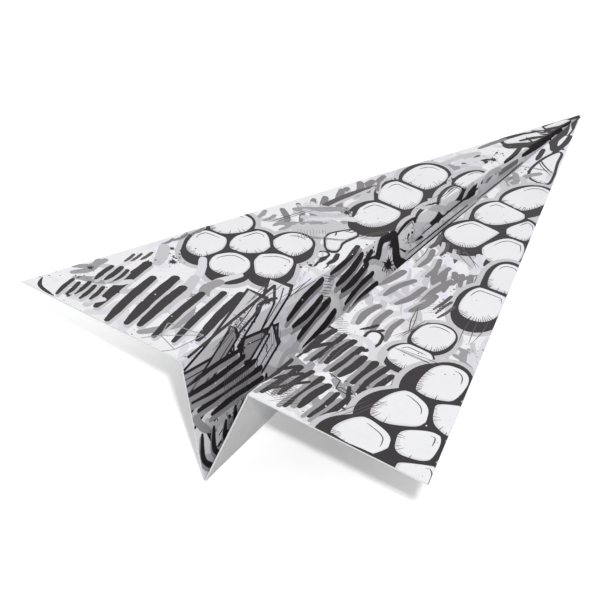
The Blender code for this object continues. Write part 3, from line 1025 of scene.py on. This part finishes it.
def printed(region, hull, lines):
    """The region as triangles that each hold one ink."""
    parts = [(np.array(a, float), np.array(b, float)) for a, b in lines]
    lo, hi = hull.min(0), hull.max(0)
    segments = []
    for _, poly, plo, phi in drawn:
        if (plo < hi).all() and (phi > lo).all():
            a, b = clipped(poly, np.roll(poly, -1, 0), hull)
            segments += list(zip(a, b))
    verts, faces, cell, size = triangles(segments + parts, region)
    ink = inked(verts, faces, cell, size)
    # Only the outlines between two inks are kept for the mesh itself.
    sides = {}
    for f, c in zip(faces.tolist(), ink.tolist()):
        for i, j in ((f[0], f[1]), (f[1], f[2]), (f[2], f[0])):
            sides.setdefault((min(i, j), max(i, j)), []).append(c)
    segments = [(verts[i], verts[j]) for (i, j), c in sides.items() if len(c) == 2 and c[0] != c[1]]
    verts, faces, cell, size = triangles(segments + parts, region)
    return verts, faces, inked(verts, faces, cell, size)


def outline(faces):
    """The boundary loop of a patch of triangles that has no hole."""
    seen = {}
    for f in faces:
        for i, j in ((f[0], f[1]), (f[1], f[2]), (f[2], f[0])):
            if (j, i) in seen:
                del seen[(j, i)]
            else:
                seen[(i, j)] = True
    after = {i: j for i, j in seen}
    start = min(after)
    loop = [start]
    while after[loop[-1]] != start and len(loop) <= len(after):
        loop.append(after[loop[-1]])
    if len(loop) != len(after):
        raise RuntimeError(f"a patch's outline isn't one loop: {len(loop)} of {len(after)}")
    return loop


def to_linear(c):
    c = np.asarray(c, float) / 255
    return 0.62 * (np.where(c <= 0.04045, c / 12.92, ((c + 0.055) / 1.055) ** 2.4) - 0.016)


def card(name, region, hull, top, back, lines=(), back_lines=None, materials=()):
    """A closed piece of card: printed triangles on top, walls, and a back."""
    region, hull = np.array(region, float), np.array(hull, float)
    verts, faces, ink = printed(region, hull, lines)
    loop = outline(faces)
    used = sorted(set(faces.ravel().tolist()))
    number = {v: k for k, v in enumerate(used)}
    up = top(verts[used])
    n = len(used)
    under = {v: n + k for k, v in enumerate(loop)}
    rim = verts[loop]
    down = back(rim)
    bodies = [tuple(number[v] for v in f) for f in faces]
    slots = [0] * len(bodies)
    inks = [int(c) for c in ink]
    count = len(loop)
    for k in range(count):
        i, j = loop[k], loop[(k + 1) % count]
        bodies.append((number[i], number[j], under[j], under[i]))
        slots.append(len(materials) - 1)
        inks.append(1)
    extra = []
    if back_lines is None:
        bodies.append(tuple(under[v] for v in loop))
        slots.append(len(materials) - 1)
        inks.append(1)
    else:
        bv, bf = triangles([(np.array(a, float), np.array(b, float)) for a, b in back_lines], rim)[:2]
        near = {(round(float(p[0]), 3), round(float(p[1]), 3)): n + k for k, p in enumerate(rim)}
        place = {}
        for v in sorted(set(bf.ravel().tolist())):
            key = (round(float(bv[v][0]), 3), round(float(bv[v][1]), 3))
            if key in near:
                place[v] = near[key]
            else:
                place[v] = n + count + len(extra)
                extra.append(bv[v])
        for f in bf:
            ids = tuple(place[v] for v in f)
            if len(set(ids)) == 3:
                bodies.append(ids)
                slots.append(len(materials) - 1)
                inks.append(1)
    coords = [up, down]
    if extra:
        coords.append(back(np.array(extra)))
    coords = np.vstack(coords) / 1000
    mesh = bpy.data.meshes.new(name)
    mesh.from_pydata(coords.tolist(), [], bodies)
    mesh.update()
    for m in materials:
        mesh.materials.append(m)
    mesh.polygons.foreach_set("material_index", np.array(slots, np.int32))
    layer = mesh.color_attributes.new("ink", "FLOAT_COLOR", "CORNER")
    colours = np.ones((len(mesh.loops), 4), np.float32)
    table = np.array([to_linear(c) for c in palette])
    for p in mesh.polygons:
        colours[p.loop_start : p.loop_start + p.loop_total, :3] = table[inks[p.index]]
    layer.data.foreach_set("color", colours.ravel())
    square_up(mesh)
    obj = bpy.data.objects.new(name, mesh)
    bpy.context.scene.collection.objects.link(obj)
    return obj


def square_up(mesh):
    """Faces all look outward, and every edge has two of them."""
    import bmesh

    def loose():
        return sum(1 for e in bm.edges if len(e.link_faces) != 2)

    bm = bmesh.new()
    bm.from_mesh(mesh)
    for reach in (3e-7, 6e-7, 1e-6, 2e-6):
        if not loose():
            break
        bmesh.ops.remove_doubles(bm, verts=bm.verts, dist=reach)
    bmesh.ops.recalc_face_normals(bm, faces=bm.faces)
    if bm.calc_volume(signed=True) < 0:
        bmesh.ops.reverse_faces(bm, faces=bm.faces)
    if loose():
        print(f"{mesh.name}: {loose()} edges without two faces")
    bm.to_mesh(mesh)
    bm.free()


def cut(poly, point, toward):
    """A convex polygon cut by a line; the side that toward points to stays."""
    poly, point, toward = np.array(poly, float), np.array(point, float), np.array(toward, float)
    out = []
    for p, q in zip(poly, np.roll(poly, -1, 0)):
        dp, dq = (p - point) @ toward, (q - point) @ toward
        if dp >= 0:
            out.append(p)
        if dp * dq < 0:
            out.append(p + (q - p) * dp / (dp - dq))
    return np.array(out)


def mirrored(poly):
    return [(x, -y) for x, y in reversed([tuple(p) for p in poly])]


along_fold = np.array((math.cos(KEEL_ANGLE), math.sin(KEEL_ANGLE)))
off_fold = np.array((-math.sin(KEEL_ANGLE), math.cos(KEEL_ANGLE)))
half_sheet = np.array([(0.0, 0.0), FLAT_C, FLAT_B, FLAT_A])
wing_region = cut([(0.0, 0.0), FLAT_B, FLAT_A], off_fold * PANEL_INSET, off_fold)
keel_region = cut(cut([(0.0, 0.0), FLAT_C, FLAT_B], off_fold * -PANEL_INSET, -off_fold), (0, CREASE_CLEAR), (0, 1))


def on_tail(o):
    """Where a line parallel to the wing crease, o off it, meets the tail."""
    a, b = (np.array(FLAT_B), np.array(FLAT_A)) if o >= 0 else (np.array(FLAT_B), np.array(FLAT_C))
    t = (o - (a @ off_fold)) / ((b - a) @ off_fold)
    return a + (b - a) * t


def fold_line(share):
    """A line along the round of the wing crease, at this share of its inset."""
    bend = [0.0, ROUND]
    pts = [along_fold * a + off_fold * share * FULL_INSET * (0.1 + 0.9 * a / ROUND) for a in bend]
    pts.append(on_tail(share * FULL_INSET))
    return pts


edge_dir = np.array((math.cos(EDGE_ANGLE), math.sin(EDGE_ANGLE)))
reach = PANEL_INSET / math.sin(WING_ANGLE)
BLUNT = 0.5  # the strips start this far behind the nose's point
wing_crease_region = np.array(
    [
        edge_dir * BLUNT,
        along_fold * BLUNT,
        along_fold * (CREASE_CLEAR / math.sin(KEEL_ANGLE)),
        # the keel side starts where its line leaves the keel crease's strip
        ((CREASE_CLEAR * math.cos(KEEL_ANGLE) + PANEL_INSET) / math.sin(KEEL_ANGLE), CREASE_CLEAR),
        on_tail(-PANEL_INSET),
        FLAT_B,
        on_tail(PANEL_INSET),
        edge_dir * reach,
    ]
)
wing_crease_hull = cut(cut(half_sheet, off_fold * PANEL_INSET, -off_fold), off_fold * -PANEL_INSET, off_fold)
tail_at_clear = np.array(FLAT_C) + (np.array(FLAT_B) - np.array(FLAT_C)) * (CREASE_CLEAR / FLAT_B[1])
near_clear = along_fold * (CREASE_CLEAR / math.sin(KEEL_ANGLE))
blunt = along_fold * BLUNT
keel_crease_region = np.array([(blunt[0], 0.0), (blunt[0], -blunt[1]), (near_clear[0], -near_clear[1]), (tail_at_clear[0], -tail_at_clear[1]), FLAT_C, tail_at_clear, near_clear, tuple(blunt)])

wing_lines = []
for k in range(-6, 7):
    pts = fold_line(k / 6)
    wing_lines += list(zip(pts, pts[1:]))


def keel_valley(flat):
    """The printed side of the keel crease: two flats that meet in a sharp valley."""
    out = folded(flat)
    out[np.abs(np.asarray(flat, float)[:, 1]) < 1e-6, 1] = 0.0
    return out


# ------------------------------------------------------------------ materials
def nodes_of(name):
    mat = bpy.data.materials.new(name)
    mat.use_nodes = True
    tree = mat.node_tree
    return mat, tree, tree.nodes["Principled BSDF"]


def node(tree, kind, inputs=(), **settings):
    new = tree.nodes.new(kind)
    for key, value in settings.items():
        setattr(new, key, value)
    for key, value in dict(inputs).items():
        if isinstance(value, bpy.types.NodeSocket):
            tree.links.new(value, new.inputs[key])
        else:
            new.inputs[key].default_value = value
    return new


def noise(tree, where, scale, detail=4.0, rough=0.6, stretch=None):
    if stretch:
        where = node(tree, "ShaderNodeMapping", {0: where, 3: stretch}).outputs[0]
    return node(tree, "ShaderNodeTexNoise", {"Vector": where, "Scale": scale, "Detail": detail, "Roughness": rough}).outputs["Fac"]


def spread(tree, value, lo, hi, to_lo, to_hi):
    return node(tree, "ShaderNodeMapRange", {0: value, 1: lo, 2: hi, 3: to_lo, 4: to_hi}).outputs[0]


def times(tree, colour, factor):
    """The colour with every channel multiplied by a grey factor."""
    grey = node(tree, "ShaderNodeCombineColor", {0: factor, 1: factor, 2: factor}).outputs[0]
    return node(tree, "ShaderNodeMix", {0: 1.0, 6: colour, 7: grey}, data_type="RGBA", blend_type="MULTIPLY").outputs[2]


def plus(tree, a, b):
    return node(tree, "ShaderNodeMath", {0: a, 1: b}, operation="ADD").outputs[0]


def print_material():
    """Offset ink on white coated paper under a satin varnish."""
    mat, tree, shader = nodes_of("printed_cover")
    where = node(tree, "ShaderNodeTexCoord").outputs["Object"]
    ink = node(tree, "ShaderNodeAttribute", attribute_name="ink").outputs["Color"]
    tone = node(tree, "ShaderNodeSeparateColor", {0: ink}).outputs[1]
    # Ink lays down a little unevenly, and fine fibres break it up.
    cloud = spread(tree, noise(tree, where, 38.0, 3.0), 0.3, 0.7, 0.975, 1.02)
    grain = spread(tree, noise(tree, where, 2600.0, 3.0, 0.7), 0.35, 0.75, 0.96, 1.05)
    fibre = noise(tree, where, 1500.0, 4.0, 0.65, (1.0, 3.0, 1.0))
    mottle = node(tree, "ShaderNodeMath", {0: cloud, 1: grain}, operation="MULTIPLY").outputs[0]
    colour = times(tree, ink, mottle)
    # Pinholes in the heavy ink, where the paper's peaks show through.
    pin = spread(tree, noise(tree, where, 3400.0, 2.0, 0.5), 0.68, 0.76, 0.0, 0.09)
    colour = node(tree, "ShaderNodeMix", {0: pin, 6: colour, 7: (0.62, 0.62, 0.64, 1.0)}, data_type="RGBA").outputs[2]
    tree.links.new(colour, shader.inputs["Base Color"])
    sheen = spread(tree, tone, 0.0, 0.9, 0.36, 0.47)
    scuff = spread(tree, noise(tree, where, 90.0, 5.0, 0.7), 0.4, 0.8, -0.03, 0.08)
    tree.links.new(plus(tree, sheen, scuff), shader.inputs["Roughness"])
    peel = plus(tree, node(tree, "ShaderNodeMath", {0: fibre, 1: 0.7}, operation="MULTIPLY").outputs[0], noise(tree, where, 320.0, 2.0))
    bump = node(tree, "ShaderNodeBump", {"Strength": 0.16, "Distance": 0.00006, "Height": peel})
    tree.links.new(bump.outputs[0], shader.inputs["Normal"])
    shader.inputs["Specular IOR Level"].default_value = 0.12
    shader.inputs["Coat Weight"].default_value = 0.03
    shader.inputs["Coat Roughness"].default_value = 0.38
    return mat


def board_material(name, tone, pressed=False):
    """Grey pulp board: soft clouds, short fibres, a few flecks, and paler edges facing the tail, partly the white core
    and partly a painted highlight.
    """
    mat, tree, shader = nodes_of(name)
    coords = node(tree, "ShaderNodeTexCoord")
    where = coords.outputs["Object"]
    cloud = spread(tree, noise(tree, where, 45.0, 4.0), 0.3, 0.7, 0.95, 1.04)
    fibre = spread(tree, noise(tree, where, 900.0, 5.0, 0.7, (0.35, 1.0, 1.0)), 0.3, 0.75, 0.93, 1.07)
    base = node(tree, "ShaderNodeCombineColor", {0: tone[0], 1: tone[1], 2: tone[2]}).outputs[0]
    shade = node(tree, "ShaderNodeMath", {0: cloud, 1: fibre}, operation="MULTIPLY").outputs[0]
    colour = times(tree, base, shade)
    fleck = spread(tree, noise(tree, where, 1500.0, 1.0, 0.4), 0.70, 0.76, 0.0, 0.55)
    colour = node(tree, "ShaderNodeMix", {0: fleck, 6: colour, 7: (0.16, 0.15, 0.14, 1.0)}, data_type="RGBA").outputs[2]
    pale = spread(tree, noise(tree, where, 1250.0, 1.0, 0.4, (1.0, 1.0, 2.0)), 0.70, 0.78, 0.0, 0.6)
    colour = node(tree, "ShaderNodeMix", {0: pale, 6: colour, 7: (0.62, 0.61, 0.60, 1.0)}, data_type="RGBA").outputs[2]
    if not pressed:
        # Only the edges that face the tail are painted paler: partly the sheet's white core, partly a painted highlight
        # on the side the key light falls on. The leading cut edges keep the board's grey.
        facing = node(tree, "ShaderNodeSeparateXYZ", {0: coords.outputs["Normal"]}).outputs[0]
        core_and_highlight = spread(tree, facing, -0.45, -0.85, 0.0, 1.0)
        colour = node(tree, "ShaderNodeMix", {0: core_and_highlight, 6: colour, 7: (0.44, 0.44, 0.445, 1.0)}, data_type="RGBA").outputs[2]
    tree.links.new(colour, shader.inputs["Base Color"])
    tree.links.new(spread(tree, noise(tree, where, 260.0, 4.0), 0.3, 0.7, 0.72, 0.88), shader.inputs["Roughness"])
    rise = plus(tree, noise(tree, where, 1100.0, 5.0, 0.7, (0.4, 1.0, 1.0)), noise(tree, where, 240.0, 2.0))
    bump = node(tree, "ShaderNodeBump", {"Strength": 0.3 if not pressed else 0.45, "Distance": 0.00008, "Height": rise})
    tree.links.new(bump.outputs[0], shader.inputs["Normal"])
    shader.inputs["Specular IOR Level"].default_value = 0.28
    return mat


cover = print_material()
board = board_material("grey_board", (0.385, 0.385, 0.39))
pressed_board = board_material("pressed_board", (0.31, 0.31, 0.315), True)

# --------------------------------------------------------------------- pieces
for side, sign in (("left", 1), ("right", -1)):
    def lay(poly):
        return poly if sign > 0 else mirrored(poly)

    def seg(lines):
        return lines if sign > 0 else [((a[0], -a[1]), (b[0], -b[1])) for a, b in lines]

    for part, region in (("wing", wing_region), ("keel", keel_region)):
        sheet = card(f"{side}_{part}_print", lay(region), lay(region), lambda p: folded(p), lambda p: folded(p, FACE_T), materials=(cover,))
        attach(sheet, f"{side}_{part}")
        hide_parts(f"{side}_{part}_face")
        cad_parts[f"{side}_{part}_board"].data.materials.clear()
        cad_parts[f"{side}_{part}_board"].data.materials.append(board)
    crease = card(f"{side}_wing_fold_strip", lay(wing_crease_region), lay(wing_crease_hull), lambda p: folded(p), lambda p: folded(p, "back"), seg(wing_lines), seg(wing_lines), (cover, pressed_board))
    feet = folded(np.array([along_fold * 150 + off_fold * s * FULL_INSET for s in (-1, 1)]) * (1, sign)) / 1000
    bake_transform(crease)
    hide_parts(f"{side}_wing_crease")

centre_line = [((0.0, 0.0), FLAT_C)]
under_lines = []
for k in range(-8, 9):
    y = 0.1 * k / 8
    under_lines.append(((abs(y) / math.tan(KEEL_ANGLE), y), tuple(np.array(FLAT_C) + (np.array(FLAT_B) - np.array(FLAT_C)) * abs(y) / FLAT_B[1] * np.array((1, 1 if y >= 0 else -1)))))
valley = card("keel_fold_strip", keel_crease_region, keel_crease_region, lambda p: keel_valley(p), lambda p: keel_fold_under(p, 0.13), centre_line + under_lines, centre_line + under_lines, (cover, cover))
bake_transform(valley)
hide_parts("keel_crease")

# ---------------------------------------------------------------------- stage
scene = bpy.context.scene
scene.view_settings.view_transform = "Standard"
scene.view_settings.look = "None"

floor_mat, floor_tree, floor_shader = nodes_of("studio_floor")
floor_shader.inputs["Base Color"].default_value = (0.93, 0.93, 0.93, 1.0)
floor_shader.inputs["Roughness"].default_value = 0.9
floor_shader.inputs["Specular IOR Level"].default_value = 0.1
floor_mesh = bpy.data.meshes.new("studio_floor")
floor_mesh.from_pydata([(-6, -6, 0), (6, -6, 0), (6, 6, 0), (-6, 6, 0)], [], [(0, 1, 2, 3)])
floor_mesh.materials.append(floor_mat)
floor = bpy.data.objects.new("studio_floor", floor_mesh)
scene.collection.objects.link(floor)

world = bpy.data.worlds.new("studio")
scene.world = world
world.use_nodes = True
sky = world.node_tree
sky.nodes["Background"].inputs["Color"].default_value = (1.0, 1.0, 1.0, 1.0)
# A big soft studio dome, brighter on the left wing's side.
across = node(sky, "ShaderNodeSeparateXYZ", {0: node(sky, "ShaderNodeTexCoord").outputs["Generated"]}).outputs[1]
sky.links.new(spread(sky, across, -1.0, 1.0, 0.62, 1.62), sky.nodes["Background"].inputs["Strength"])


# The key is a small softbox beside the camera, so that the shadows stay narrow.
# Its light is as strong at the nose as at the tail.
lamp = bpy.data.lights.new("key", "AREA")
lamp.shape = "DISK"
lamp.size = 0.036
lamp.energy = 7.85
lamp.use_nodes = True
falloff = node(lamp.node_tree, "ShaderNodeLightFalloff", {"Strength": 1.0})
lamp.node_tree.links.new(falloff.outputs["Constant"], lamp.node_tree.nodes["Emission"].inputs["Strength"])
key = bpy.data.objects.new("key", lamp)
key.location = (-0.588, -0.327, 0.501)
key.rotation_euler = (Vector(key.location) - Vector((0.0, 0.0, 0.03))).to_track_quat("Z", "Y").to_euler()
scene.collection.objects.link(key)

camera_data = bpy.data.cameras.new("camera")
camera_data.sensor_width = 36.0
camera_data.lens = 118.51
camera_data.clip_start = 0.01
camera_data.clip_end = 50.0
camera = bpy.data.objects.new("camera", camera_data)
right = Vector((0.55528821, -0.8229509, 0.12002842))
upward = Vector((0.39165132, 0.3860819, 0.83519459))
ahead = Vector((0.73366494, 0.41676443, -0.53669654))
camera.matrix_world = Matrix(
    (
        (right.x, upward.x, -ahead.x, -0.653847),
        (right.y, upward.y, -ahead.y, -0.317469),
        (right.z, upward.z, -ahead.z, 0.466504),
        (0.0, 0.0, 0.0, 1.0),
    )
)
scene.collection.objects.link(camera)
scene.camera = camera
